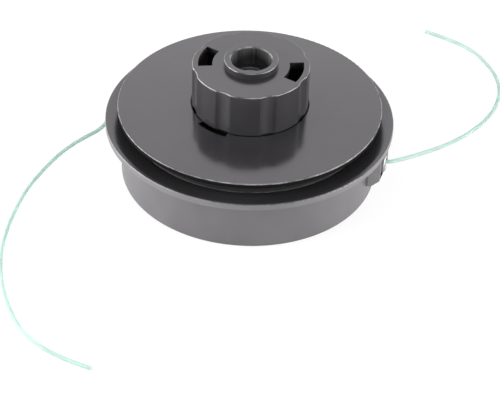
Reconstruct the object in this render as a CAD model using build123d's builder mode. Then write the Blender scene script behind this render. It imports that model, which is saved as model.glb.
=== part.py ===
from build123d import *
import math
import os

# Two-line trimmer head with its spool, in millimetres and degrees.
# The head stands on the cup's wear floor: the origin is on the head's axis in that floor,
# +Z points along the axis to the drive shaft, and the two eyelets lie on X.
os.makedirs("parts", exist_ok=True)

# Driving dimensions: line and winding
line_diameter = 1.6
turns_per_layer = 4
winding_radius = 36.5
winding_play = 0.1

# Driving dimensions: cup
rim_height = 27.3
flange_width = 6.6
lip_height = 3.0
rim_drop = 0.7
lip_width = 1.6
lip_round = 0.4
wall_radius = 53.4
wall = 2.2
floor = 2.6
foot_round = 2.2
inner_round = 2.0
flange_round = 1.2
roof = 2.8
tower_wall = 2.2
collar_rise = 1.2

# Driving dimensions: eyelets and their bosses
boss_proud = 5.0
boss_half_width = 7.0
boss_drop = 8.1
boss_slope = 3.6
boss_rib = 1.5
boss_recess = 0.8
eyelet_radius = 2.6
eyelet_bore = 1.3
eyelet_lip_radius = 3.6
eyelet_lip = 0.9
eyelet_flare = 0.8

# Driving dimensions: disc
disc_inset = 5.1
disc_thickness = 2.2
disc_crown = 1.1
disc_edge_round = 0.4
slot_angle = 249.0
slot_span = 31.0
slot_width = 2.2
hook_wall = 1.8
hook_drop = 1.8
hook_bite = 1.3
hook_side_gap = 4.0

# Driving dimensions: hub
hub_radius = 24.2
hub_rise = 18.9
hub_top_round = 0.5
flute_count = 8
flute_start = 33.5
flute_depth = 0.75
flute_cut_radius = 11.0
flute_edge_round = 1.5
skirt = 2.2
top_plate = 3.0
base_flange = 2.4
base_overlap = 2.1
rib_count = 6
rib = 1.6
window_turn = 2.4
window_span = 39.5
window_width = 5.9
window_inset = 0.2
boss_radius = 11.2
boss_height = 2.7
boss_round = 0.4
bore_radius = 8.4
bore_depth = 8.3
bore_chamfer = 0.5
socket_radius = 12.4

# Driving dimensions: column, nut, insert and screw
column_radius = 9.0
spline_count = 4
spline_height = 1.6
spline_width = 3.0
spline_rise = 0.4
nut_across_flats = 14.0
nut_thickness = 10.0
nut_bore = 5.1
nut_mouth = 0.8
shaft_room = 7.0
shaft_hole = 6.2
insert_radius = 4.4
insert_length = 10.0
insert_inset = 0.6
screw_radius = 3.0
screw_length = 18.0
screw_end_room = 1.0
screw_head_radius = 5.2
screw_head = 2.8
socket_flats = 4.0
socket_depth = 1.6
lock_washer = 1.4
lock_washer_radius = 5.1
lock_washer_gap = 1.2
retaining_washer_thickness = 1.2
retaining_washer_radius = 11.4
bush_wall = 1.4

# Driving dimensions: spring, thrust washer and spool
wire = 1.8
spring_turns = 4.6
thrust_washer_thickness = 1.2
thrust_washer_margin = 1.3
drum_wall = 3.0
spool_flange = 2.0
spool_edge_round = 0.4
spool_wall_gap = 1.0
divider = 1.4
divider_inset = 1.4
notch_width = 2.4
notch_depth = 7.5
rim_above_spool = 1.1

# Driving dimensions: index lugs
tap_travel = 4.0
lug_count = 6
lug_width = 8.4
lug_bite = 2.0
lug_flange_gap = 0.8
lug_side_gap = 0.7
lug_gap = 0.4
upper_lug = 4.0

# Clearances
fit = 0.15
running = 0.08
face_gap = 0.1
screw_fit = 0.05
floor_clearance = 0.4
bump_clearance = 0.2
lug_clearance = 1.0
hub_clearance = 0.25
washer_side_gap = 1.2
washer_fit = 0.2
spring_side_gap = 0.5
drum_side_gap = 1.6

# Small edge rounds, and how far joined shapes run into each other
edge_break = 0.3
small_round = 0.4
inner_fillet = 0.8
overlap = 0.5

# Heights, from the floor up
well_height = floor_clearance + tap_travel + screw_head + lock_washer + retaining_washer_thickness + face_gap
column_foot = well_height - face_gap
collar_top = well_height + roof + collar_rise
head_foot = floor_clearance + tap_travel
winding_height = turns_per_layer * line_diameter + 2 * winding_play
spool_top = rim_height - rim_above_spool
seat_height = spool_top - spool_flange
upper_winding_foot = seat_height - winding_height
lower_winding_foot = upper_winding_foot - divider - winding_height
spool_foot = lower_winding_foot - spool_flange
eyelet_height = upper_winding_foot - divider / 2
boss_foot_height = eyelet_height - boss_drop
disc_edge_under = rim_height + tap_travel + bump_clearance
disc_under = disc_edge_under + disc_crown
disc_top = disc_under + disc_thickness
base_under = disc_under - base_flange
hub_height = disc_top + hub_rise
spline_foot = collar_top + tap_travel + spline_rise
ledge_height = hub_height + boss_height - bore_depth
nut_foot = ledge_height - nut_thickness
thrust_top = seat_height - face_gap
spring_top = thrust_top - thrust_washer_thickness

# Radii, from the axis out
rim_radius = wall_radius + flange_width
boss_reach = wall_radius + boss_proud
disc_radius = rim_radius - disc_inset
collar_bore = column_radius + fit
collar_radius = socket_radius
bush_radius = column_radius + running + bush_wall
well_radius = retaining_washer_radius + washer_side_gap
tower_radius = well_radius + tower_wall
spring_radius = tower_radius + spring_side_gap + wire / 2
thrust_washer_radius = spring_radius + wire / 2 + thrust_washer_margin
drum_inner_radius = thrust_washer_radius + drum_side_gap
drum_radius = drum_inner_radius + drum_wall
inner_radius = wall_radius - wall
hub_hole = hub_radius + hub_clearance
base_radius = hub_radius + base_overlap
upper_flange_radius = inner_radius - spool_wall_gap
spool_lug_reach = inner_radius - spool_wall_gap
cup_lug_reach = spool_lug_reach - lug_bite
lower_flange_radius = cup_lug_reach - lug_flange_gap
divider_radius = lower_flange_radius - divider_inset
window_outer_radius = hub_radius - skirt - window_inset
window_inner_radius = window_outer_radius - window_width
screw_hole_radius = screw_radius + washer_fit

# Index lugs: the upper row in the cup stands beside the spool's lugs, the lower row half a pitch on
lug_pitch = 360 / lug_count
lug_step = 2 * math.degrees(math.asin(lug_width / 2 / cup_lug_reach)) + lug_side_gap
upper_lug_foot = spool_foot - tap_travel + spool_flange + lug_clearance
lower_lug_top = upper_lug_foot - lug_gap

# Free line: each route starts inside its eyelet, droops and ends on the ground
line_radius = line_diameter / 2
left_route = [
    (-56.0, 0.2, 17.0), (-60.6, -1.2, 16.5), (-60.5, -11.4, 15.4), (-69.5, -23.2, 13.9),
    (-74.9, -35.4, 12.3), (-79.6, -60.3, 9.8), (-76.0, -95.9, 6.2), (-57.4, -127.0, 2.1),
    (-36.0, -138.5, 0.8), (-20.0, -140.0, 0.8),
]
right_route = [
    (56.0, -0.4, 16.8), (60.4, 1.5, 17.1), (68.2, 9.0, 16.2), (79.0, 21.7, 15.0),
    (88.3, 39.0, 13.2), (93.6, 60.0, 10.9), (91.3, 84.7, 7.9), (78.0, 107.5, 4.4),
    (63.5, 120.0, 1.7), (48.0, 125.0, 0.8),
]


def section(*corners):
    """Closed face in the open sketch from (r, z) corners; a third value rounds that corner."""
    rounds = [corner[2] if len(corner) > 2 else 0 for corner in corners]
    with BuildLine() as boundary:
        FilletPolyline(*[corner[:2] for corner in corners], radius=rounds, close=True)
    make_face(boundary.edges())


def ring_sector(inner, outer, span, middle):
    """Face in the open sketch between two radii, span degrees wide about the middle angle."""
    with BuildLine() as boundary:
        inside = CenterArc((0, 0), inner, middle - span / 2, span)
        outside = CenterArc((0, 0), outer, middle - span / 2, span)
        Line(inside @ 0, outside @ 0)
        Line(inside @ 1, outside @ 1)
    make_face(boundary.edges())


def arc_radii(route):
    """One radius for each corner of a route: 0.45 of its shorter run over the tangent of half the turn."""
    points = [Vector(*point) for point in route]
    radii = []
    for before, corner, after in zip(points, points[1:], points[2:]):
        run_in = corner - before
        run_out = after - corner
        shorter = min(run_in.length, run_out.length)
        radii.append(0.45 * shorter / math.tan(math.radians(run_in.get_angle(run_out) / 2)))
    return radii


# Cup: bowl with a flat wear floor, a rim that shields the gap, and two eyelet bosses
with BuildPart() as cup:
    with BuildSketch(Plane.XZ):
        section(
            (0, 0),
            (wall_radius, 0, foot_round),
            (wall_radius, rim_height - lip_height, flange_round),
            (rim_radius, rim_height - lip_height, edge_break),
            (rim_radius, rim_height, lip_round),
            (rim_radius - lip_width, rim_height, small_round),
            (inner_radius, rim_height - rim_drop),
            (0, rim_height - rim_drop),
        )
    revolve(axis=Axis.Z)
    # Both eyelet bosses are one bar across the cup, hollowed out with the bowl
    with BuildSketch(Plane.XZ):
        section(
            (-boss_reach, rim_height - lip_height + overlap),
            (boss_reach, rim_height - lip_height + overlap),
            (boss_reach, boss_foot_height + boss_slope),
            (boss_reach - boss_slope, boss_foot_height),
            (boss_slope - boss_reach, boss_foot_height),
            (-boss_reach, boss_foot_height + boss_slope),
        )
    extrude(amount=boss_half_width, both=True)
    with BuildSketch(Plane.XZ):
        section(
            (0, rim_height),
            (inner_radius, rim_height),
            (inner_radius, floor, inner_round),
            (tower_radius, floor, inner_fillet),
            (tower_radius, well_height + roof, small_round),
            (bush_radius + tower_wall, well_height + roof),
            (bush_radius + tower_wall, collar_top, edge_break),
            (0, collar_top),
        )
    revolve(axis=Axis.Z, mode=Mode.SUBTRACT)
    # Screw well, open to the ground, and the bush seat in its roof
    with BuildSketch(Plane.XY):
        Circle(well_radius)
    extrude(amount=well_height, mode=Mode.SUBTRACT)
    with BuildSketch(Plane.XY.offset(well_height)):
        Circle(bush_radius)
    extrude(amount=roof + collar_rise, mode=Mode.SUBTRACT)
    # Recessed face of each eyelet boss between its side ribs, with a round seat left for the eyelet
    for face in (Plane.YZ.offset(boss_reach - boss_recess), Plane.YZ.offset(boss_recess - boss_reach)):
        with BuildSketch(face):
            recess_top = rim_height - lip_height
            recess_foot = boss_foot_height + boss_slope
            with Locations((0, (recess_top + recess_foot) / 2)):
                Rectangle(2 * (boss_half_width - boss_rib), recess_top - recess_foot)
            with Locations((0, eyelet_height)):
                Circle(eyelet_lip_radius + edge_break, mode=Mode.SUBTRACT)
        outward = 1 if face.origin.X > 0 else -1
        extrude(amount=outward * boss_recess, mode=Mode.SUBTRACT)
    with BuildSketch(Plane.YZ):
        with Locations((0, eyelet_height)):
            Circle(eyelet_radius)
    extrude(amount=boss_reach + overlap, both=True, mode=Mode.SUBTRACT)
    # Two rows of index lugs on the inside of the wall
    with BuildSketch(Plane.XY.offset(upper_lug_foot)):
        with PolarLocations((cup_lug_reach + inner_radius + overlap) / 2, lug_count, start_angle=lug_step):
            Rectangle(inner_radius + overlap - cup_lug_reach, lug_width)
    extrude(amount=upper_lug)
    with BuildSketch(Plane.XY.offset(floor - overlap)):
        with PolarLocations((cup_lug_reach + inner_radius + overlap) / 2, lug_count, start_angle=lug_step + lug_pitch / 2):
            Rectangle(inner_radius + overlap - cup_lug_reach, lug_width)
    extrude(amount=lower_lug_top - floor + overlap)
cup.part.label = "cup"
export_step(cup.part, "parts/cup.step")

# Eyelets: turned steel ferrules pressed through the wall from outside
for side in (-1, 1):
    with BuildPart() as eyelet:
        eyelet_axis = Axis((0, 0, eyelet_height), (1, 0, 0))
        seat = side * boss_reach
        mouth = side * (boss_reach + eyelet_lip)
        throat = side * (boss_reach - eyelet_flare)
        tail = side * inner_radius
        with BuildSketch(Plane.XZ):
            with BuildLine():
                Polyline(
                    (tail, eyelet_height + eyelet_bore),
                    (tail, eyelet_height + eyelet_radius),
                    (seat, eyelet_height + eyelet_radius),
                    (seat, eyelet_height + eyelet_lip_radius),
                )
                ThreePointArc(
                    (seat, eyelet_height + eyelet_lip_radius),
                    (mouth, eyelet_height + (eyelet_lip_radius + eyelet_bore + eyelet_flare) / 2),
                    (throat + side * eyelet_flare, eyelet_height + eyelet_bore + eyelet_flare),
                )
                Polyline(
                    (throat + side * eyelet_flare, eyelet_height + eyelet_bore + eyelet_flare),
                    (throat, eyelet_height + eyelet_bore),
                    (tail, eyelet_height + eyelet_bore),
                )
            make_face()
        revolve(axis=eyelet_axis)
    eyelet_name = "eyelet_left" if side < 0 else "eyelet_right"
    eyelet.part.label = eyelet_name
    export_step(eyelet.part, f"parts/{eyelet_name}.step")

# Free ends of the line: straight runs joined by tangent arcs
for line_name, route in (("line_left", left_route), ("line_right", right_route)):
    radii = arc_radii(route)
    print(line_name, "arc radii:", [round(radius, 1) for radius in radii])
    with BuildPart() as line_end:
        with BuildLine() as path:
            FilletPolyline(*route, radius=radii)
        with BuildSketch(Plane(origin=path.line @ 0, z_dir=path.line % 0)):
            Circle(line_radius)
        sweep(path=path.line)
    line_length = path.wire().length
    print(line_name, "length", round(line_length, 1), "volume over section times length",
          round(line_end.part.volume / (math.pi * line_radius**2 * line_length), 5))
    line_end.part.label = line_name
    export_step(line_end.part, f"parts/{line_name}.step")

# Cup bush: plain sleeve in the roof of the screw well
with BuildPart() as cup_bush:
    with BuildSketch(Plane.XY.offset(well_height)):
        Circle(bush_radius)
        Circle(column_radius + running, mode=Mode.SUBTRACT)
    extrude(amount=roof + collar_rise)
cup_bush.part.label = "cup_bush"
export_step(cup_bush.part, "parts/cup_bush.step")

# Spring: round wire with ground ends, between the cup's floor and the thrust washer
with BuildPart() as spring:
    with BuildLine() as coil:
        Helix(
            pitch=(spring_top - floor - wire / 2) / spring_turns,
            height=spring_top - floor - wire / 2,
            radius=spring_radius,
            center=(0, 0, floor + wire / 4),
        )
    with BuildSketch(Plane(origin=coil.line @ 0, z_dir=coil.line % 0)):
        Circle(wire / 2)
    sweep(path=coil.line, is_frenet=True)
    split(bisect_by=Plane.XY.offset(floor), keep=Keep.TOP)
    split(bisect_by=Plane.XY.offset(spring_top), keep=Keep.BOTTOM)
spring.part.label = "spring"
export_step(spring.part, "parts/spring.step")

# Thrust washer: carries the spring's end under the turning spool
with BuildPart() as thrust_washer:
    with BuildSketch(Plane.XY.offset(spring_top)):
        Circle(thrust_washer_radius)
        Circle(collar_radius + 2 * fit, mode=Mode.SUBTRACT)
    extrude(amount=thrust_washer_thickness)
thrust_washer.part.label = "thrust_washer"
export_step(thrust_washer.part, "parts/thrust_washer.step")

# Spool: drum with two flanges, a divider between the two lines, a splined collar and six lugs
with BuildPart() as spool:
    with BuildSketch(Plane.XZ):
        section(
            (collar_bore, spline_foot),
            (collar_radius, spline_foot, small_round),
            (collar_radius, seat_height),
            (drum_inner_radius, seat_height),
            (drum_inner_radius, spool_foot, small_round),
            (lower_flange_radius, spool_foot, spool_edge_round),
            (lower_flange_radius, lower_winding_foot, spool_edge_round),
            (drum_radius, lower_winding_foot),
            (drum_radius, lower_winding_foot + winding_height),
            (divider_radius, lower_winding_foot + winding_height, spool_edge_round),
            (divider_radius, upper_winding_foot, spool_edge_round),
            (drum_radius, upper_winding_foot),
            (drum_radius, seat_height),
            (upper_flange_radius, seat_height, spool_edge_round),
            (upper_flange_radius, spool_top, spool_edge_round),
            (collar_radius, spool_top, inner_fillet),
            (collar_radius, base_under),
            (collar_bore, base_under),
        )
    revolve(axis=Axis.Z)
    with BuildSketch(Plane.XY.offset(spline_foot)):
        with PolarLocations(column_radius, spline_count):
            Rectangle(2 * (spline_height + fit), spline_width + 2 * fit)
    extrude(amount=base_under - spline_foot, mode=Mode.SUBTRACT)
    # Notch in the divider through which each line starts
    with BuildSketch(Plane.XY.offset(lower_winding_foot + winding_height)):
        with PolarLocations(divider_radius, 2, start_angle=45):
            Rectangle(2 * notch_depth, notch_width)
    extrude(amount=divider, mode=Mode.SUBTRACT)
    with BuildSketch(Plane.XY.offset(spool_foot)):
        with PolarLocations((lower_flange_radius - overlap + spool_lug_reach) / 2, lug_count):
            Rectangle(spool_lug_reach - lower_flange_radius + overlap, lug_width)
    extrude(amount=spool_flange)
spool.part.label = "spool"
export_step(spool.part, "parts/spool.step")

# Windings: the turns of each line show as ridges
for winding_name, foot in (
    ("upper_winding", upper_winding_foot + winding_play),
    ("lower_winding", lower_winding_foot + winding_play),
):
    with BuildPart() as winding:
        with BuildSketch(Plane.XZ):
            with BuildLine():
                valley = winding_radius - line_radius / 2
                for turn in range(turns_per_layer):
                    turn_foot = foot + turn * line_diameter
                    ThreePointArc(
                        (valley, turn_foot),
                        (winding_radius, turn_foot + line_radius),
                        (valley, turn_foot + line_diameter),
                    )
                top = foot + turns_per_layer * line_diameter
                start_radius = drum_radius + winding_play
                Polyline((valley, top), (start_radius, top), (start_radius, foot), (valley, foot))
            make_face()
        revolve(axis=Axis.Z)
    winding.part.label = winding_name
    export_step(winding.part, f"parts/{winding_name}.step")

# Hub: fluted skirt and top plate on a column that runs down through the spool
with BuildPart() as hub:
    with BuildSketch(Plane.XY.offset(disc_under)) as outline:
        Circle(hub_radius)
        with PolarLocations(hub_radius - flute_depth + flute_cut_radius, flute_count, start_angle=flute_start):
            Circle(flute_cut_radius, mode=Mode.SUBTRACT)
        fillet(outline.vertices(), radius=flute_edge_round)
    extrude(amount=hub_height - disc_under)
    fillet(hub.faces().sort_by(Axis.Z)[-1].edges(), radius=hub_top_round)
    with BuildSketch(Plane.XY.offset(base_under)):
        Circle(base_radius)
    extrude(amount=base_flange)
    with BuildSketch(Plane.XY.offset(base_under)):
        Circle(hub_radius - skirt)
        Circle(socket_radius, mode=Mode.SUBTRACT)
    extrude(amount=hub_height - top_plate - base_under, mode=Mode.SUBTRACT)
    with BuildSketch(Plane.XY.offset(disc_under)):
        rib_middle = (hub_radius - skirt + socket_radius) / 2
        with PolarLocations(rib_middle, rib_count, start_angle=window_turn + 180 / rib_count):
            Rectangle(hub_radius - skirt - socket_radius + overlap, rib)
    extrude(amount=hub_height - top_plate - disc_under)
    with BuildSketch(Plane.XY.offset(hub_height)):
        Circle(boss_radius)
    extrude(amount=boss_height)
    fillet(hub.faces().sort_by(Axis.Z)[-1].edges(), radius=boss_round)
    with BuildSketch(Plane.XY.offset(column_foot)):
        Circle(column_radius)
    extrude(amount=base_under - column_foot)
    with BuildSketch(Plane.XY.offset(spline_foot)):
        with PolarLocations(column_radius, spline_count):
            Rectangle(2 * spline_height, spline_width)
    extrude(amount=base_under - spline_foot)
    # Bore for the shaft's collar, pocket for the nut, room for the shaft's end
    with BuildSketch(Plane.XY.offset(ledge_height)):
        Circle(bore_radius)
    extrude(amount=bore_depth, mode=Mode.SUBTRACT)
    chamfer(
        hub.edges().filter_by(GeomType.CIRCLE).group_by(Axis.Z)[-1].sort_by(SortBy.RADIUS)[0],
        length=bore_chamfer,
    )
    with BuildSketch(Plane.XY.offset(nut_foot)):
        RegularPolygon(nut_across_flats / 2 + face_gap / 2, 6, major_radius=False, rotation=30)
    extrude(amount=nut_thickness, mode=Mode.SUBTRACT)
    with BuildSketch(Plane.XY.offset(nut_foot - shaft_room)):
        Circle(shaft_hole)
    extrude(amount=shaft_room, mode=Mode.SUBTRACT)
    # Holes for the thread insert and the screw in the column's foot
    with BuildSketch(Plane.XY.offset(column_foot)):
        Circle(insert_radius)
    extrude(amount=insert_inset + insert_length, mode=Mode.SUBTRACT)
    with BuildSketch(Plane.XY.offset(column_foot)):
        Circle(screw_hole_radius)
    extrude(amount=screw_length + screw_end_room, mode=Mode.SUBTRACT)
    # Two low windows in the skirt behind the disc's slots, no higher than the disc
    with BuildSketch(Plane.XY.offset(disc_under)):
        for middle in (slot_angle, slot_angle - 180):
            ring_sector(hub_radius - skirt - overlap, hub_radius + overlap, slot_span, middle)
    extrude(amount=disc_thickness, mode=Mode.SUBTRACT)
    # Two arc windows in the top plate for the driver's dogs
    with BuildSketch(Plane.XY.offset(hub_height - top_plate)):
        for middle in (window_turn, window_turn + 180):
            ring_sector(window_inner_radius, window_outer_radius, window_span, middle)
    extrude(amount=top_plate, mode=Mode.SUBTRACT)
hub.part.label = "hub"
export_step(hub.part, "parts/hub.step")

# Shaft nut: hexagon nut with the shaft's thread core and a bevelled mouth, flush with the bore's ledge
with BuildPart() as shaft_nut:
    with BuildSketch(Plane.XY.offset(nut_foot)):
        RegularPolygon(nut_across_flats / 2, 6, major_radius=False, rotation=30)
        Circle(nut_bore, mode=Mode.SUBTRACT)
    extrude(amount=nut_thickness)
    chamfer(shaft_nut.edges().filter_by(GeomType.CIRCLE).sort_by(Axis.Z)[-1], length=nut_mouth)
shaft_nut.part.label = "shaft_nut"
export_step(shaft_nut.part, "parts/shaft_nut.step")

# Thread insert: takes the retaining screw
with BuildPart() as thread_insert:
    with BuildSketch(Plane.XY.offset(column_foot + insert_inset)):
        Circle(insert_radius)
        Circle(screw_radius + screw_fit, mode=Mode.SUBTRACT)
    extrude(amount=insert_length)
thread_insert.part.label = "thread_insert"
export_step(thread_insert.part, "parts/thread_insert.step")

# Disc: slightly crowned cover with a slot and a snap hook on each side of the hub
with BuildPart() as disc:
    hook_foot = base_under - face_gap - hook_drop
    hook_radius = base_radius + fit
    hook_span = slot_span - hook_side_gap
    with BuildSketch(Plane.XZ):
        section(
            (hub_hole, disc_under),
            (hook_radius, disc_under),
            (disc_radius, disc_edge_under, edge_break),
            (disc_radius, disc_edge_under + disc_thickness, disc_edge_round),
            (hub_hole, disc_top, edge_break),
        )
    revolve(axis=Axis.Z)
    with BuildSketch(Plane.XY.offset(hook_foot)):
        for middle in (slot_angle, slot_angle - 180):
            ring_sector(hook_radius, hook_radius + hook_wall, hook_span, middle)
    extrude(amount=disc_under + disc_thickness / 2 - hook_foot)
    with BuildSketch(Plane.XY.offset(hook_foot)):
        for middle in (slot_angle, slot_angle - 180):
            ring_sector(hook_radius - hook_bite, hook_radius + hook_wall / 2, hook_span, middle)
    extrude(amount=hook_drop)
    with BuildSketch(Plane.XY.offset(disc_under - overlap)):
        for middle in (slot_angle, slot_angle - 180):
            ring_sector(hub_hole - overlap, hub_hole + slot_width, slot_span, middle)
    extrude(amount=disc_thickness + 2 * overlap, mode=Mode.SUBTRACT)
disc.part.label = "disc"
export_step(disc.part, "parts/disc.step")

# Retaining washer: wide flat washer under the column's foot
with BuildPart() as retaining_washer:
    with BuildSketch(Plane.XY.offset(column_foot - retaining_washer_thickness)):
        Circle(retaining_washer_radius)
        Circle(screw_hole_radius, mode=Mode.SUBTRACT)
    extrude(amount=retaining_washer_thickness)
retaining_washer.part.label = "retaining_washer"
export_step(retaining_washer.part, "parts/retaining_washer.step")

# Lock washer: split ring under the screw's head
with BuildPart() as split_washer:
    with BuildSketch(Plane.XY.offset(head_foot + screw_head)):
        Circle(lock_washer_radius)
        Circle(screw_hole_radius, mode=Mode.SUBTRACT)
        with Locations((lock_washer_radius, 0)):
            Rectangle(2 * lock_washer_radius, lock_washer_gap, mode=Mode.SUBTRACT)
    extrude(amount=lock_washer)
split_washer.part.label = "lock_washer"
export_step(split_washer.part, "parts/lock_washer.step")

# Retaining screw: socket-head screw up into the column
with BuildPart() as retaining_screw:
    with BuildSketch(Plane.XY.offset(head_foot)):
        Circle(screw_head_radius)
    extrude(amount=screw_head)
    with BuildSketch(Plane.XY.offset(head_foot + screw_head)):
        Circle(screw_radius)
    extrude(amount=column_foot + screw_length - head_foot - screw_head)
    chamfer(retaining_screw.faces().sort_by(Axis.Z)[0].edges(), length=small_round)
    with BuildSketch(Plane.XY.offset(head_foot)):
        RegularPolygon(socket_flats / 2, 6, major_radius=False)
    extrude(amount=socket_depth, mode=Mode.SUBTRACT)
retaining_screw.part.label = "retaining_screw"
export_step(retaining_screw.part, "parts/retaining_screw.step")
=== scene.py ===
"""Looks of a two-line trimmer head: free line, finishes, floor, light and camera."""

from __future__ import annotations

import logging
import math
from dataclasses import dataclass, field
from enum import Enum
from typing import Any, Iterator, Mapping, Sequence, Union

import bpy
from mathutils import Matrix, Vector

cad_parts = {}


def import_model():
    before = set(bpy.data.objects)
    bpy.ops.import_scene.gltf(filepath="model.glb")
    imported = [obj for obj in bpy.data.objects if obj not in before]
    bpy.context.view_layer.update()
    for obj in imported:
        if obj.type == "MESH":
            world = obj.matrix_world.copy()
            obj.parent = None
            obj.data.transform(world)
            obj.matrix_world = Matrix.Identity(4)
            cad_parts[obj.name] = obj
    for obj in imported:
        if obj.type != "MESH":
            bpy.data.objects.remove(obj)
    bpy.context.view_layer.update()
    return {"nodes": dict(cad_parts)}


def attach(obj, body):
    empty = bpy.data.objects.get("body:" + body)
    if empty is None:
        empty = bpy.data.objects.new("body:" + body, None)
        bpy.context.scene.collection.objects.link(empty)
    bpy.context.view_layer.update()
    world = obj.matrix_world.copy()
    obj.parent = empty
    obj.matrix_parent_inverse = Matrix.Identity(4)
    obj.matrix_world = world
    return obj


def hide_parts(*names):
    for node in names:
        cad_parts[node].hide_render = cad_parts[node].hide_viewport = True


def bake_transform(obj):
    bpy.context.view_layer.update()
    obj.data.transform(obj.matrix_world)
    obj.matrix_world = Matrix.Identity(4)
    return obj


LOG = logging.getLogger("trimmer_head")
MILLIMETRE = 0.001

# Camera and lamps are turned this far round the head, so that the right-hand eyelet comes into view
VIEW_TURN = math.radians(15.5)

Point = tuple[float, float, float]
Colour = tuple[float, float, float]


@dataclass(frozen=True)
class Pattern:
    """A noise pattern: lumps per metre, octaves, and how much denser it is along X, Y and Z."""

    scale: float
    detail: float = 3.0
    stretch: Point = (1.0, 1.0, 1.0)


FLOW_MARKS = Pattern(55.0, 2.0, (1.0, 1.0, 0.6))
FINE_GRAIN = Pattern(2200.0, 2.0)
DUST_SPECKS = Pattern(1100.0, 4.0)
RIPPLES = Pattern(160.0, 1.0)
# Breaks up the pale edges of rubbed wear and painted highlight.
EDGE_WEAR_AND_HIGHLIGHT = Pattern(240.0, 3.0)
SCUFF_SWEEP = Pattern(18.0, 2.0)
SCUFF_PATCHES = Pattern(45.0, 4.0)
TARNISH_PATCHES = Pattern(160.0, 4.0)
LINE_CLOUD = Pattern(140.0, 3.0)
DRAW_MARKS = Pattern(700.0, 2.0)

# How far up a surface faces, from where each mask starts to where it is full: 1 is level, -1 is underneath
TOPS = (0.35, 0.8)
EDGE_FOOT = (0.12, 0.4)
EDGE_TOP = (0.86, 0.985)
RAISED = (0.1, 0.4)
UNDERSIDES = (0.15, 0.6)

# The shader's usual strength of gloss, and how tall the marks of turning or drawing stand
FULL_GLOSS = 0.5
WORKING_RELIEF = 0.012 * MILLIMETRE


class Signal:
    """A shader socket that can stand in a Python expression; each operator adds one Math node."""

    def __init__(self, graph: "Graph", socket: bpy.types.NodeSocket) -> None:
        """Wrap one output socket of a graph."""
        self.graph = graph
        self.socket = socket

    def _math(self, operation: str, first: "Operand", second: "Operand") -> "Signal":
        """Add one Math node and give its result."""
        return self.graph.node("ShaderNodeMath", {"operation": operation}, {0: first, 1: second})

    def __add__(self, other: "Operand") -> "Signal":
        """Sum."""
        return self._math("ADD", self, other)

    def __radd__(self, other: "Operand") -> "Signal":
        """Sum with the number on the left."""
        return self._math("ADD", other, self)

    def __sub__(self, other: "Operand") -> "Signal":
        """Difference."""
        return self._math("SUBTRACT", self, other)

    def __rsub__(self, other: "Operand") -> "Signal":
        """Difference with the number on the left."""
        return self._math("SUBTRACT", other, self)

    def __mul__(self, other: "Operand") -> "Signal":
        """Product."""
        return self._math("MULTIPLY", self, other)

    def __rmul__(self, other: "Operand") -> "Signal":
        """Product with the number on the left."""
        return self._math("MULTIPLY", other, self)


Operand = Union[float, Signal]
Feed = Union[float, Sequence[float], Signal]


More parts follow.
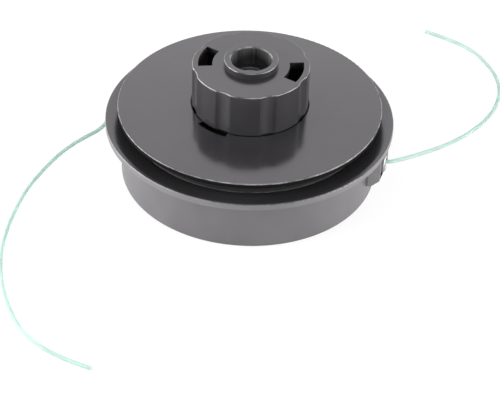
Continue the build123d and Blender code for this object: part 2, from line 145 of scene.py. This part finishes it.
class Graph:
    """The node tree of one material or of the world."""

    def __init__(self, owner: Union[bpy.types.Material, bpy.types.World]) -> None:
        """Start an empty tree in its owner."""
        self.owner = owner
        self.owner.use_nodes = True
        self.tree = owner.node_tree
        self.tree.nodes.clear()

    def node(
        self,
        kind: str,
        settings: Mapping[str, Any] | None = None,
        inputs: Mapping[int | str, Feed] | None = None,
        output: int | str = 0,
    ) -> Signal:
        """Add one node.

        Args:
            kind: the node's type, such as ShaderNodeTexNoise.
            settings: properties set first; "stops" holds a ramp's (place, colour) pairs.
            inputs: values or signals for its sockets, by name or number.
            output: the socket that is given back.

        Returns:
            The chosen output.
        """
        node = self.tree.nodes.new(kind)
        for key, value in (settings or {}).items():
            if key == "stops":
                self._set_stops(node, value)
            else:
                setattr(node, key, value)
        for key, value in (inputs or {}).items():
            self.feed(node.inputs[key], value)
        return Signal(self, node.outputs[output] if len(node.outputs) else None)

    def _set_stops(self, node: bpy.types.Node, stops: Sequence[tuple[float, Colour]]) -> None:
        """Give a ramp node these stops."""
        elements = node.color_ramp.elements
        while len(elements) < len(stops):
            elements.new(0.5)
        for element, (place, colour) in zip(elements, stops):
            element.position = place
            element.color = (*colour, 1.0)

    def feed(self, socket: bpy.types.NodeSocket, value: Feed) -> None:
        """Link a signal to a socket, or set the socket's own value."""
        if isinstance(value, Signal):
            self.tree.links.new(value.socket, socket)
        elif isinstance(value, (int, float)):
            socket.default_value = value
        else:
            sized = tuple(value)
            if len(sized) == 3 and len(socket.default_value) == 4:
                sized = (*sized, 1.0)
            socket.default_value = sized

    def place(self) -> Signal:
        """Object coordinates in metres."""
        return self.node("ShaderNodeTexCoord", output="Object")

    def noise(self, pattern: Pattern) -> Signal:
        """Noise from 0 to 1 in a pattern."""
        vector = self.node("ShaderNodeMapping", None, {"Vector": self.place(), "Scale": pattern.stretch})
        return self.node(
            "ShaderNodeTexNoise",
            {"noise_dimensions": "3D"},
            {"Vector": vector, "Scale": pattern.scale, "Detail": pattern.detail, "Roughness": 0.55},
            "Fac",
        )

    def part(self, vector: Signal, axis: str) -> Signal:
        """One part of a vector: X, Y or Z."""
        return self.node("ShaderNodeSeparateXYZ", None, {0: vector}, axis)

    def radius(self) -> Signal:
        """Distance from the head's axis, in metres."""
        flat = self.node(
            "ShaderNodeVectorMath", {"operation": "MULTIPLY"}, {0: self.place(), 1: (1.0, 1.0, 0.0)}
        )
        return self.node("ShaderNodeVectorMath", {"operation": "LENGTH"}, {0: flat}, "Value")

    def beyond(self, radius: float, fade: float = 0.4 * MILLIMETRE) -> Signal:
        """0 up to a distance from the head's axis, and 1 from a fade's width past it."""
        return self.ramp(self.radius(), radius, radius + fade)

    def height(self) -> Signal:
        """Height above the floor, in metres."""
        return self.part(self.place(), "Z")

    def turn(self) -> Signal:
        """Angle round the head's axis, in turns."""
        place = self.place()
        across = {0: self.part(place, "Y"), 1: self.part(place, "X")}
        return self.node("ShaderNodeMath", {"operation": "ARCTAN2"}, across) * (1.0 / math.tau)

    def facing_up(self) -> Signal:
        """How far the surface faces up: 1 on level tops, 0 on upright walls, -1 underneath."""
        return self.part(self.node("ShaderNodeTexCoord", output="Normal"), "Z")

    def facing_sideways(self) -> Signal:
        """1 on the flanks of the eyelet bosses, which face along the Y axis, and 0 on their fronts."""
        along = self.part(self.node("ShaderNodeTexCoord", output="Normal"), "Y")
        return self.ramp(self.node("ShaderNodeMath", {"operation": "ABSOLUTE"}, {0: along}), 0.5, 0.8)

    def noise_along(self, value: Signal, scale: float) -> Signal:
        """Noise from 0 to 1 that changes with one value alone."""
        return self.node(
            "ShaderNodeTexNoise",
            {"noise_dimensions": "1D"},
            {"W": value, "Scale": scale, "Detail": 2.0, "Roughness": 0.6},
            "Fac",
        )

    def white_seen(self) -> Signal:
        """1 for camera, mirror and see-through rays, and 0 for light that falls on surfaces."""
        path = "ShaderNodeLightPath"
        seen = self.node(path, output="Is Camera Ray") + self.node(path, output="Is Glossy Ray")
        return seen + self.node(path, output="Is Transmission Ray")

    def blend(self, factor: Feed, first: Feed, second: Feed) -> Signal:
        """Mix two colours by a factor."""
        return self.node(
            "ShaderNodeMix",
            {"data_type": "RGBA", "clamp_factor": True},
            {0: factor, 6: first, 7: second},
            2,
        )

    def ramp(self, value: Signal, low: float, high: float) -> Signal:
        """Value stretched so that low gives 0 and high gives 1, with soft ends."""
        return self.node(
            "ShaderNodeMapRange",
            {"interpolation_type": "SMOOTHSTEP", "clamp": True},
            {"Value": value, "From Min": low, "From Max": high},
        )

    def bump(self, height: Signal, distance: float, strength: float = 1.0) -> Signal:
        """Surface normal from a height map of 0 to 1 that stands distance metres tall."""
        return self.node(
            "ShaderNodeBump", None, {"Height": height, "Distance": distance, "Strength": strength}
        )

    def finish(self, shader: Signal) -> Union[bpy.types.Material, bpy.types.World]:
        """Send a shader to the output of the tree's owner."""
        kind = "World" if isinstance(self.owner, bpy.types.World) else "Material"
        self.node(f"ShaderNodeOutput{kind}", None, {"Surface": shader})
        return self.owner


@dataclass(frozen=True)
class MouldedPlastic:
    """Dark injection-moulded plastic, polished on top and duller on its sides, with a pale colour on its
    rounded edges that paints rubbed wear and edge highlights together.

    Each radius or height says where on the head a mark of painted light or shade lies, and 0 leaves the
    mark out. Each share says how much of the mark's colour shows.
    """

    name: str
    top: Colour
    side: Colour
    top_roughness: float
    side_roughness: float
    # Pale colour and its strength on the rounded edges: rubbed wear and painted edge highlight together.
    # The painted light on the walls uses this colour too.
    pale_wear_and_highlight: Colour = (0.3, 0.295, 0.3)
    edge_wear_and_highlight: float = 0.5
    cloud: float = 0.1
    dust: float = 0.03
    dust_colour: Colour = (0.42, 0.41, 0.39)
    ripple: float = 0.02 * MILLIMETRE
    grain: float = 0.12
    rings: float = 0.0
    ring_density: float = 1800.0
    # Painted highlight: from what radius the lip's band is painted lighter, and how much.
    painted_lip_light_radius: float = 0.0
    painted_lip_light_share: float = 0.12
    # Painted light: where the eyelet bosses' flanks are painted lighter, up to what height, and how much.
    painted_boss_light_radius: float = 0.0
    painted_boss_light_top: float = 0.0
    painted_boss_light_share: float = 0.6
    # Painted shade: up to what height the hub's foot is painted dark, how much, and in what colour.
    painted_shade_height: float = 0.0
    painted_shade_share: float = 0.85
    painted_shade_colour: Colour = (0.004, 0.004, 0.004)
    # Painted highlights: where the flutes lie, how deep they are, and how much of their light streaks
    # shows.
    flute_radius: float = 0.0
    flute_depth: float = 1.1 * MILLIMETRE
    flute_highlight_share: float = 0.12
    # Painted reflections: the bore's radius, and how much of its light streaks shows.
    bore_radius: float = 0.0
    bore_reflection_share: float = 0.22
    side_gloss: float = FULL_GLOSS
    scuffs: float = 0.0
    scuff_colour: Colour = (0.2, 0.195, 0.19)
    underside_share: float = 0.75
    underside_roughness: float = 0.25
    flow_roughness: float = 0.06
    dust_roughness: float = 0.1
    ior: float = 1.52
    gloss_tint: Colour = (1.0, 0.95, 1.0)

    def mottled(self, graph: Graph, flow: Signal, colour: Colour) -> Signal:
        """A colour with slow flow marks in it."""
        darker = tuple(part * (1.0 - self.cloud) for part in colour)
        lighter = tuple(part * (1.0 + self.cloud) for part in colour)
        return graph.blend(graph.ramp(flow, 0.3, 0.7), darker, lighter)

    def height(self, graph: Graph) -> Signal:
        """Height map: slow ripples, fine grain, and turning marks round the axis where there are any."""
        height = graph.noise(RIPPLES) + self.grain * graph.noise(FINE_GRAIN)
        if self.rings:
            height = height + self.rings * graph.noise_along(graph.radius(), self.ring_density)
        return height

    def rubbed_and_highlit_edges(self, graph: Graph, level: Signal) -> Signal:
        """Rounded edges between side and top, painted pale unevenly: rubbed wear and edge highlights
        together.
        """
        edge = graph.ramp(level, *EDGE_FOOT) * (1.0 - graph.ramp(level, *EDGE_TOP))
        return edge * graph.ramp(graph.noise(EDGE_WEAR_AND_HIGHLIGHT), 0.3, 0.62) * self.edge_wear_and_highlight

    def scuffed(self, graph: Graph) -> Signal:
        """Ground scratches round the axis, broken up into patches, from 0 to 1."""
        sweep = graph.noise(SCUFF_SWEEP) * (12.0 * MILLIMETRE) + graph.radius()
        scratches = graph.ramp(graph.noise_along(sweep, 2400.0), 0.5, 0.68)
        patches = graph.ramp(graph.noise(SCUFF_PATCHES), 0.42, 0.62)
        low = 1.0 - graph.ramp(graph.height(), 0.8 * MILLIMETRE, 2.2 * MILLIMETRE)
        return scratches * patches * low

    def painted_light_streaks(self, graph: Graph) -> Signal:
        """Upright streaks of painted highlight and reflection that change round the axis, from 0 to 1."""
        return graph.ramp(graph.noise_along(graph.turn(), 14.0), 0.2, 0.75)

    def painted_wall_light_and_shade(self, graph: Graph, sides: Signal) -> Iterator[tuple[Signal, Colour]]:
        """Painted light and shade on the walls, in the order in which they lie on each other: a painted
        highlight on the lip's band, painted light on the eyelet bosses' flanks, painted highlight streaks
        in the flutes, painted reflection streaks in the bore, and painted shade round the hub's foot.

        Args:
            graph: the material's tree.
            sides: 1 on upright walls and 0 on tops.

        Yields:
            How far each mark shows, and its colour.
        """
        # Painted highlight: the lip's outer band painted lighter.
        if self.painted_lip_light_radius:
            yield graph.beyond(self.painted_lip_light_radius) * sides * self.painted_lip_light_share, self.pale_wear_and_highlight
        # Painted light: the eyelet bosses' flanks painted lighter, for light that the flange's overhang
        # keeps off them.
        if self.painted_boss_light_radius:
            below = 1.0 - graph.ramp(graph.height(), self.painted_boss_light_top - 0.8 * MILLIMETRE, self.painted_boss_light_top)
            flanks = graph.beyond(self.painted_boss_light_radius) * below * graph.facing_sideways()
            yield flanks * self.painted_boss_light_share, self.pale_wear_and_highlight
        # Painted highlights: light upright streaks on the flutes' walls.
        if self.flute_radius:
            deep = self.flute_radius - self.flute_depth
            cut = 1.0 - graph.ramp(graph.radius(), deep, self.flute_radius)
            outside = graph.ramp(graph.radius(), deep - 2.0 * MILLIMETRE, deep - 1.5 * MILLIMETRE)
            yield cut * outside * sides * self.painted_light_streaks(graph) * self.flute_highlight_share, self.pale_wear_and_highlight
        # Painted reflections: light upright streaks on the bore's wall.
        if self.bore_radius:
            bored = 1.0 - graph.beyond(self.bore_radius, 0.3 * MILLIMETRE)
            yield bored * sides * self.painted_light_streaks(graph) * self.bore_reflection_share, self.pale_wear_and_highlight
        # Painted shade: the hub's foot painted dark where it meets the disc.
        if self.painted_shade_height:
            unshaded = graph.ramp(graph.height(), self.painted_shade_height, self.painted_shade_height + 0.5 * MILLIMETRE)
            yield (1.0 - unshaded) * self.painted_shade_share, self.painted_shade_colour

    def material(self) -> bpy.types.Material:
        """Build the material."""
        graph = Graph(bpy.data.materials.new(self.name))
        flow = graph.noise(FLOW_MARKS)
        specks = graph.ramp(graph.noise(DUST_SPECKS), 0.68, 0.8)
        level = graph.facing_up()
        upward = graph.ramp(level, *TOPS)
        underside = graph.ramp(0.0 - level, *UNDERSIDES)
        walls = self.mottled(graph, flow, self.side)
        colour = graph.blend(upward, walls, self.mottled(graph, flow, self.top))
        colour = graph.blend(specks * self.dust, colour, self.dust_colour)
        # Painted light and shade on the walls, one mark over another.
        for share, mark in self.painted_wall_light_and_shade(graph, 1.0 - upward):
            colour = graph.blend(share, colour, mark)
        # Undersides take the top colour; on the cup that is its painted-shade colour.
        colour = graph.blend(underside * self.underside_share, colour, self.top)
        if self.scuffs:
            colour = graph.blend(self.scuffed(graph) * underside * self.scuffs, colour, self.scuff_colour)
        rough = self.side_roughness + (self.top_roughness - self.side_roughness) * upward
        rough = rough + underside * self.underside_roughness
        surface = {
            # Pale rounded edges: rubbed wear and painted edge highlight together.
            "Base Color": graph.blend(self.rubbed_and_highlit_edges(graph, level), colour, self.pale_wear_and_highlight),
            "Roughness": rough + (flow - 0.5) * self.flow_roughness + specks * self.dust_roughness,
            "IOR": self.ior,
            "Specular Tint": self.gloss_tint,
            "Normal": graph.bump(self.height(graph), self.ripple),
        }
        shader = graph.node("ShaderNodeBsdfPrincipled", None, surface)
        if self.side_gloss < FULL_GLOSS:
            duller = {**surface, "Specular IOR Level": self.side_gloss}
            dull = graph.node("ShaderNodeBsdfPrincipled", None, duller)
            raised = graph.ramp(level, *RAISED)
            shader = graph.node("ShaderNodeMixShader", None, {0: raised, 1: dull, 2: shader})
        return graph.finish(shader)


@dataclass(frozen=True)
class WorkedSteel:
    """Metal with faint turning or drawing marks and a little tarnish."""

    name: str
    colour: Colour
    tarnish: Colour
    roughness: float
    marks: Pattern = Pattern(420.0, 3.0, (1.0, 1.0, 22.0))
    mark_roughness: float = 0.18
    tarnish_roughness: float = 0.1

    @property
    def relief(self) -> float:
        """How tall the height map stands."""
        return WORKING_RELIEF

    def height(self, graph: Graph, lines: Signal) -> Signal:
        """Height map: the working marks alone."""
        return lines

    def material(self) -> bpy.types.Material:
        """Build the material."""
        graph = Graph(bpy.data.materials.new(self.name))
        lines = graph.noise(self.marks)
        patches = graph.noise(TARNISH_PATCHES)
        rough = self.roughness + (lines - 0.5) * self.mark_roughness
        shader = graph.node(
            "ShaderNodeBsdfPrincipled",
            None,
            {
                "Base Color": graph.blend(graph.ramp(patches, 0.42, 0.72), self.colour, self.tarnish),
                "Metallic": 1.0,
                "Roughness": rough + (patches - 0.5) * self.tarnish_roughness,
                "Normal": graph.bump(self.height(graph, lines), self.relief),
            },
        )
        return graph.finish(shader)


@dataclass(frozen=True)
class ThreadedSteel(WorkedSteel):
    """Steel with a left-hand thread on its inner wall."""

    pitch: float = 1.5 * MILLIMETRE
    depth: float = 0.8 * MILLIMETRE
    wall_radius: float = 5.5 * MILLIMETRE

    def height(self, graph: Graph, lines: Signal) -> Signal:
        """Height map: working marks, and the thread's ridges inside the wall radius."""
        rise = graph.height() * (1.0 / self.pitch) + graph.turn()
        along = graph.node("ShaderNodeMath", {"operation": "PINGPONG"}, {0: rise, 1: 0.5})
        inside = 1.0 - graph.beyond(self.wall_radius, 0.3 * MILLIMETRE)
        return along * 2.0 * inside + lines * (WORKING_RELIEF / self.depth)

    @property
    def relief(self) -> float:
        """How tall the height map stands."""
        return self.depth


@dataclass(frozen=True)
class ClearNylon:
    """Pale green translucent nylon line with faint draw marks."""

    name: str
    colour: Colour
    deep_colour: Colour
    roughness: float = 0.65
    draw_roughness: float = 0.12
    draw_relief: float = 0.008 * MILLIMETRE
    clearness: float = 0.85
    ior: float = 1.53

    def material(self) -> bpy.types.Material:
        """Build the material."""
        graph = Graph(bpy.data.materials.new(self.name))
        cloud = graph.ramp(graph.noise(LINE_CLOUD), 0.35, 0.65)
        draw = graph.noise(DRAW_MARKS)
        shader = graph.node(
            "ShaderNodeBsdfPrincipled",
            None,
            {
                "Base Color": graph.blend(cloud, self.colour, self.deep_colour),
                "Roughness": self.roughness + (draw - 0.5) * self.draw_roughness,
                "IOR": self.ior,
                "Transmission Weight": self.clearness,
                "Normal": graph.bump(draw, self.draw_relief),
            },
        )
        return graph.finish(shader)


class Finish(Enum):
    """The finishes of the head."""

    CUP = MouldedPlastic(
        "cup_plastic",
        # Top colour: painted shade, far darker than the walls, standing in for the disc's shadow over the
        # flange; the cup's undersides take it too.
        (0.018, 0.0172, 0.0185),
        (0.076, 0.0738, 0.0764),
        0.24,
        0.42,
        edge_wear_and_highlight=0.16,
        # Painted highlight on the lip's outer band.
        painted_lip_light_radius=59.3 * MILLIMETRE,
        # Painted light on the eyelet bosses' flanks.
        painted_boss_light_radius=53.7 * MILLIMETRE,
        painted_boss_light_top=24.2 * MILLIMETRE,
        scuffs=0.6,
    )
    DISC = MouldedPlastic(
        "disc_plastic",
        (0.021, 0.02, 0.0214),
        # Side colour: painted shade, near black, for the shaded edge face of the disc.
        (0.004, 0.0038, 0.0041),
        0.15,
        0.55,
        side_gloss=0.04,
    )
    HUB = MouldedPlastic(
        "hub_plastic",
        (0.019, 0.0182, 0.0193),
        (0.02, 0.0192, 0.0203),
        0.2,
        0.24,
        edge_wear_and_highlight=0.48,
        rings=0.8,
        # Painted shade round the hub's foot.
        painted_shade_height=34.85 * MILLIMETRE,
        # Painted highlight streaks in the hub's flutes.
        flute_radius=24.1 * MILLIMETRE,
        # Painted reflection streaks in the hub's bore.
        bore_radius=8.5 * MILLIMETRE,
    )
    SPOOL = MouldedPlastic("spool_plastic", (0.03, 0.03, 0.031), (0.03, 0.03, 0.031), 0.5, 0.5, edge_wear_and_highlight=0.2)
    BRIGHT_STEEL = WorkedSteel("bright_steel", (0.66, 0.66, 0.67), (0.42, 0.41, 0.4), 0.3)
    DARK_STEEL = ThreadedSteel("dark_steel", (0.1, 0.1, 0.105), (0.05, 0.048, 0.047), 0.34)
    EYELET_STEEL = WorkedSteel("eyelet_steel", (0.3, 0.3, 0.305), (0.2, 0.195, 0.19), 0.55)
    SPRING_STEEL = WorkedSteel("spring_steel", (0.42, 0.42, 0.43), (0.26, 0.25, 0.24), 0.34)
    INSERT_BRASS = WorkedSteel("insert_brass", (0.74, 0.55, 0.25), (0.5, 0.34, 0.16), 0.34)
    LINE = ClearNylon("line_nylon", (0.5, 0.66, 0.6), (0.44, 0.6, 0.545))


class Workshop:
    """Builds each finish once and dresses nodes with it."""

    def __init__(self, nodes: Mapping[str, bpy.types.Object]) -> None:
        """Keep the frame's nodes."""
        self.nodes = nodes
        self.materials: dict[Finish, bpy.types.Material] = {}

    def material(self, finish: Finish) -> bpy.types.Material:
        """The material of a finish."""
        if finish not in self.materials:
            self.materials[finish] = finish.value.material()
        return self.materials[finish]

    def dress(self, node: str, finish: Finish) -> None:
        """Give every slot of a frame node one finish."""
        for slot in self.nodes[node].material_slots:
            slot.material = self.material(finish)
        LOG.info("%s dressed in %s", node, finish.value.name)


@dataclass
class FreeLine:
    """One free end of trimmer line, from inside its eyelet to where it lies on the ground."""

    node: str
    route: Sequence[Point]
    mouth: Point
    length: float
    diameter: float = 1.6 * MILLIMETRE
    corner_rounding: int = 4
    steps_per_point: int = 16
    smoothness: int = 3

    def build(self, workshop: Workshop) -> bpy.types.Object:
        """Make the line as one smooth curve through the route.

        Args:
            workshop: gives the finish.

        Returns:
            The curve object.
        """
        curve = bpy.data.curves.new(f"{self.node}_strand", "CURVE")
        curve.dimensions = "3D"
        curve.bevel_depth = self.diameter / 2
        curve.bevel_resolution = self.corner_rounding
        curve.resolution_u = self.steps_per_point
        curve.use_fill_caps = True
        spline = curve.splines.new("NURBS")
        spline.points.add(len(self.route) - 1)
        for point, place in zip(spline.points, self.route):
            point.co = (*place, 1.0)
        spline.order_u = self.smoothness
        spline.use_endpoint_u = True
        curve.materials.append(workshop.material(Finish.LINE))
        strand = bpy.data.objects.new(f"{self.node}_strand", curve)
        bpy.context.scene.collection.objects.link(strand)
        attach(strand, "cup")
        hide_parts(self.node)
        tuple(self.mouth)
        LOG.info("%s follows %d points", strand.name, len(self.route))
        return strand


LEFT_LINE = FreeLine(
    node="line_left",
    route=(
        (-0.0560, 0.0002, 0.0170), (-0.0617, -0.0009, 0.0161), (-0.0599, -0.0110, 0.0155),
        (-0.0686, -0.0227, 0.0141), (-0.0746, -0.0353, 0.0123), (-0.0796, -0.0603, 0.0098),
        (-0.0760, -0.0959, 0.0062), (-0.0574, -0.1270, 0.0021), (-0.0360, -0.1385, 0.0008),
        (-0.0200, -0.1400, 0.0008),
    ),
    mouth=(-0.0593, -0.0010, 0.0166),
    length=0.179,
)

RIGHT_LINE = FreeLine(
    node="line_right",
    route=(
        (0.0560, -0.0004, 0.0168), (0.0608, 0.0014, 0.0170), (0.0682, 0.0090, 0.0162),
        (0.0790, 0.0217, 0.0150), (0.0883, 0.0390, 0.0132), (0.0936, 0.0600, 0.0109),
        (0.0913, 0.0847, 0.0079), (0.0780, 0.1075, 0.0044), (0.0635, 0.1200, 0.0017),
        (0.0480, 0.1250, 0.0008),
    ),
    mouth=(0.0593, 0.0011, 0.0170),
    length=0.160,
)


@dataclass
class PushSpring:
    """The compression spring between the cup's floor and the thrust washer.

    It shortens as the head is tapped.
    """

    node: str = "spring"
    radius: float = 16.2 * MILLIMETRE
    wire: float = 1.8 * MILLIMETRE
    turns: float = 4.6
    foot: float = 2.6 * MILLIMETRE
    top: float = 22.9 * MILLIMETRE
    ring_points: int = 14
    steps_per_turn: int = 56

    def ring(self, turn: float) -> list[Point]:
        """One ring of the wire's surface, ground flat where it meets the floor or the washer.

        Args:
            turn: how far along the coil, in turns.

        Returns:
            The ring's points.
        """
        angle = turn * math.tau
        pitch = (self.top - self.foot - self.wire / 2) / self.turns
        outward = Vector((math.cos(angle), math.sin(angle), 0.0))
        along = Vector(
            (-math.sin(angle) * self.radius, math.cos(angle) * self.radius, pitch / math.tau)
        ).normalized()
        across = outward.cross(along)
        centre = outward * self.radius + Vector((0.0, 0.0, self.foot + self.wire / 4 + pitch * turn))
        points = []
        for step in range(self.ring_points):
            swing = step * math.tau / self.ring_points
            place = centre + (outward * math.cos(swing) + across * math.sin(swing)) * (self.wire / 2)
            points.append((place.x, place.y, min(max(place.z, self.foot), self.top)))
        return points

    def build(self, workshop: Workshop) -> bpy.types.Object:
        """Make the coil between the cup and the thrust washer.

        Args:
            workshop: gives the finish.

        Returns:
            The spring's object.
        """
        steps = round(self.turns * self.steps_per_turn)
        points = [point for step in range(steps + 1) for point in self.ring(self.turns * step / steps)]
        faces: list[tuple[int, ...]] = [
            (
                step * self.ring_points + corner,
                (step + 1) * self.ring_points + corner,
                (step + 1) * self.ring_points + (corner + 1) % self.ring_points,
                step * self.ring_points + (corner + 1) % self.ring_points,
            )
            for step in range(steps)
            for corner in range(self.ring_points)
        ]
        last = steps * self.ring_points
        faces.append(tuple(range(self.ring_points)))
        faces.append(tuple(reversed(range(last, last + self.ring_points))))
        mesh = bpy.data.meshes.new("spring_coil")
        mesh.from_pydata(points, [], faces)
        mesh.shade_smooth()
        mesh.materials.append(workshop.material(Finish.SPRING_STEEL))
        coil = bpy.data.objects.new("spring_coil", mesh)
        bpy.context.scene.collection.objects.link(coil)
        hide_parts(self.node)
        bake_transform(coil)
        LOG.info("%s has %d rings", coil.name, steps + 1)
        return coil


@dataclass
class CupAssembly:
    """The cup with its bush, eyelets, spring and thrust washer."""

    spring: PushSpring = field(default_factory=PushSpring)
    finishes: Mapping[str, Finish] = field(
        default_factory=lambda: {
            "cup": Finish.CUP,
            "cup_bush": Finish.BRIGHT_STEEL,
            "eyelet_left": Finish.EYELET_STEEL,
            "eyelet_right": Finish.EYELET_STEEL,
            "thrust_washer": Finish.BRIGHT_STEEL,
        }
    )

    def build(self, workshop: Workshop) -> None:
        """Dress the cup's pieces and coil its spring."""
        for node, finish in self.finishes.items():
            workshop.dress(node, finish)
        self.spring.build(workshop)


@dataclass
class DriveAssembly:
    """The hub and what turns with it."""

    finishes: Mapping[str, Finish] = field(
        default_factory=lambda: {
            "hub": Finish.HUB,
            "disc": Finish.DISC,
            "spool": Finish.SPOOL,
            "shaft_nut": Finish.DARK_STEEL,
            "thread_insert": Finish.INSERT_BRASS,
            "upper_winding": Finish.LINE,
            "lower_winding": Finish.LINE,
            "retaining_washer": Finish.BRIGHT_STEEL,
            "lock_washer": Finish.BRIGHT_STEEL,
            "retaining_screw": Finish.BRIGHT_STEEL,
        }
    )

    def build(self, workshop: Workshop) -> None:
        """Dress the drive's pieces."""
        for node, finish in self.finishes.items():
            workshop.dress(node, finish)


@dataclass(frozen=True)
class Softbox:
    """A square or oblong lamp that faces the head."""

    name: str
    azimuth: float
    elevation: float
    distance: float
    width: float
    height: float
    radiance: float

    def build(self, target: Vector) -> bpy.types.Object:
        """Place the lamp.

        Args:
            target: the point that it faces.

        Returns:
            The lamp object.
        """
        lamp = bpy.data.lights.new(self.name, "AREA")
        lamp.shape = "RECTANGLE"
        lamp.size = self.width
        lamp.size_y = self.height
        lamp.energy = self.radiance * math.pi * self.width * self.height
        azimuth = math.radians(self.azimuth) + VIEW_TURN
        elevation = math.radians(self.elevation)
        level = math.cos(elevation)
        direction = Vector((math.cos(azimuth) * level, math.sin(azimuth) * level, math.sin(elevation)))
        holder = bpy.data.objects.new(self.name, lamp)
        holder.location = target + direction * self.distance
        holder.rotation_euler = direction.to_track_quat("Z", "Y").to_euler()
        bpy.context.scene.collection.objects.link(holder)
        return holder


@dataclass
class Studio:
    """Camera, floor, light and world. Azimuths count from the picture's right, away from the camera."""

    # Camera, in the picture's own axes: right, away and up from the head's axis on the floor
    camera_place: Point = (0.00128, -0.7772, 0.58933)
    camera_pitch: float = 37.953
    camera_roll: float = -1.80
    focal_pixels: float = 2300.7
    picture_width: float = 500.0
    sensor: float = 36.0
    nearest: float = 0.01
    farthest: float = 50.0
    lamp_target: Point = (0.0, 0.0, 0.03)
    floor_size: float = 12.0
    floor_gap: float = 0.05 * MILLIMETRE
    floor_colour: Colour = (0.93, 0.93, 0.93)
    floor_glow: float = 0.85
    glow_reach: tuple[float, float] = (0.35, 1.1)
    world_level: float = 0.16
    lamps: Sequence[Softbox] = (
        Softbox("back_box", 90.0, 41.0, 1.5, 2.4, 1.2, 1.18),
        Softbox("top_strip", -90.0, 72.0, 1.3, 1.6, 0.4, 3.0),
        Softbox("right_box", -18.0, 13.0, 0.9, 1.0, 0.4, 14.0),
        Softbox("left_box", 188.0, 13.0, 0.9, 1.0, 0.4, 19.5),
    )

    def build_camera(self) -> bpy.types.Object:
        """Set up the camera at the photograph's angle."""
        pitch = math.radians(self.camera_pitch)
        roll = math.radians(self.camera_roll)
        level_right = Vector((1.0, 0.0, 0.0))
        level_up = Vector((0.0, math.sin(pitch), math.cos(pitch)))
        right = math.cos(roll) * level_right - math.sin(roll) * level_up
        up = math.sin(roll) * level_right + math.cos(roll) * level_up
        back = right.cross(up)
        turn = Matrix.Rotation(VIEW_TURN, 4, "Z")
        stance = Matrix((right, up, back)).transposed().to_4x4()
        stance.translation = Vector(self.camera_place)
        lens = bpy.data.cameras.new("photo_camera")
        lens.sensor_fit = "HORIZONTAL"
        lens.sensor_width = self.sensor
        lens.lens = self.focal_pixels / self.picture_width * self.sensor
        lens.clip_start = self.nearest
        lens.clip_end = self.farthest
        camera = bpy.data.objects.new("photo_camera", lens)
        camera.matrix_world = turn @ stance
        bpy.context.scene.collection.objects.link(camera)
        bpy.context.scene.camera = camera
        return camera

    def build_floor(self) -> bpy.types.Object:
        """Lay the plain pale floor."""
        half = self.floor_size / 2
        low = -self.floor_gap
        corners = [(-half, -half, low), (half, -half, low), (half, half, low), (-half, half, low)]
        mesh = bpy.data.meshes.new("floor")
        mesh.from_pydata(corners, [], [(0, 1, 2, 3)])
        graph = Graph(bpy.data.materials.new("floor"))
        matt = graph.node("ShaderNodeBsdfDiffuse", None, {"Color": self.floor_colour})
        glow = graph.node("ShaderNodeEmission", None, {"Color": (1.0, 1.0, 1.0), "Strength": 1.0})
        far = graph.ramp(graph.radius(), self.glow_reach[0], self.glow_reach[1])
        level = self.floor_glow + far * (1.0 - self.floor_glow)
        shader = graph.node("ShaderNodeMixShader", None, {0: graph.white_seen() * level, 1: matt, 2: glow})
        mesh.materials.append(graph.finish(shader))
        floor = bpy.data.objects.new("floor", mesh)
        bpy.context.scene.collection.objects.link(floor)
        return floor

    def build_world(self) -> None:
        """Fill in from all round, and show white behind the head."""
        graph = Graph(bpy.data.worlds.new("studio"))
        white = (1.0, 1.0, 1.0)
        fill = graph.node("ShaderNodeBackground", None, {"Color": white, "Strength": self.world_level})
        seen = graph.node("ShaderNodeBackground", None, {"Color": white, "Strength": 1.0})
        bpy.context.scene.world = graph.finish(
            graph.node("ShaderNodeMixShader", None, {0: graph.white_seen(), 1: fill, 2: seen})
        )

    def build(self) -> None:
        """Set up everything round the head except the camera."""
        self.build_floor()
        self.build_world()
        for lamp in self.lamps:
            lamp.build(Vector(self.lamp_target))
        bpy.context.scene.view_settings.view_transform = "Standard"


def main() -> None:
    """Dress the head and set up the studio."""
    logging.basicConfig(level=logging.INFO, format="%(name)s: %(message)s")
    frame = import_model()
    studio = Studio()
    studio.build_camera()
    workshop = Workshop(frame["nodes"])
    for line in (LEFT_LINE, RIGHT_LINE):
        line.build(workshop)
    CupAssembly().build(workshop)
    DriveAssembly().build(workshop)
    studio.build()


if __name__ == "__main__":
    main()
